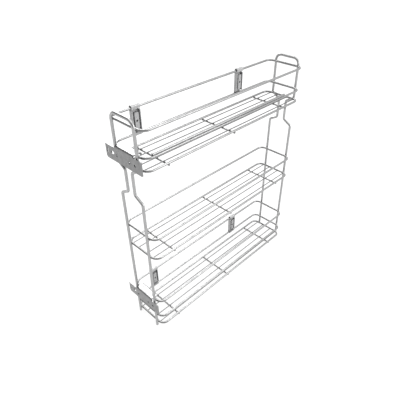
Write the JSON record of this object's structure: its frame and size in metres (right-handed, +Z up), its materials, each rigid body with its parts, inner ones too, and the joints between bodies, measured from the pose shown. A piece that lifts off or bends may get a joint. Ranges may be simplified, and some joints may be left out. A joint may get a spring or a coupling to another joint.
{
  "type": "pull-out pantry basket frame",
  "caption": "Narrow tall wire frame with stacked open baskets for a pull-out pantry cabinet, with front panel brackets and hooked runner clips on one side.",
  "frame": {"origin": "on the floor under the middle of the outer box; the leg ends stand at Z 0. The frame's own middle plane is at X 3.75 mm and Y 1.025 mm, because the brackets reach further left and forward", "axes": "+Z up; -Y towards the front panel, where the door brackets are; +X to the right seen from the front; the runner clips are on the -X side"},
  "size_m": [0.1046, 0.478, 0.518],
  "materials": {
    "upright_wire": "bright plated",
    "rail_wire": "bright plated",
    "cross_wire": "bright plated",
    "floor_wire": "bright plated",
    "bracket_sheet": "zinc plated sheet",
    "clip_sheet": "zinc plated sheet"
  },
  "bodies": {
    "root": {"front_upright": "upright_wire", "rear_upright": "upright_wire", "top_upper_rail": "rail_wire", "top_lower_rail": "rail_wire", "top_base_rail": "rail_wire", "middle_guard_rail": "rail_wire", "middle_base_rail": "rail_wire", "bottom_upper_rail": "rail_wire", "bottom_lower_rail": "rail_wire", "bottom_base_rail": "rail_wire", "top_side_wire": "rail_wire", "top_cross_wire_front": "cross_wire", "top_cross_wire_centre": "cross_wire", "top_cross_wire_rear": "cross_wire", "top_floor_wire_1": "floor_wire", "top_floor_wire_2": "floor_wire", "top_floor_wire_3": "floor_wire", "top_floor_wire_4": "floor_wire", "middle_cross_wire_front": "cross_wire", "middle_cross_wire_centre": "cross_wire", "middle_cross_wire_rear": "cross_wire", "middle_floor_wire_1": "floor_wire", "middle_floor_wire_2": "floor_wire", "middle_floor_wire_3": "floor_wire", "middle_floor_wire_4": "floor_wire", "bottom_cross_wire_front": "cross_wire", "bottom_cross_wire_centre": "cross_wire", "bottom_cross_wire_rear": "cross_wire", "bottom_floor_wire_1": "floor_wire", "bottom_floor_wire_2": "floor_wire", "bottom_floor_wire_3": "floor_wire", "bottom_floor_wire_4": "floor_wire", "upper_door_bracket": "bracket_sheet", "lower_door_bracket": "bracket_sheet", "upper_front_runner_clip": "clip_sheet", "upper_rear_runner_clip": "clip_sheet", "lower_front_runner_clip": "clip_sheet", "lower_rear_runner_clip": "clip_sheet"}
  },
  "joints": []
}
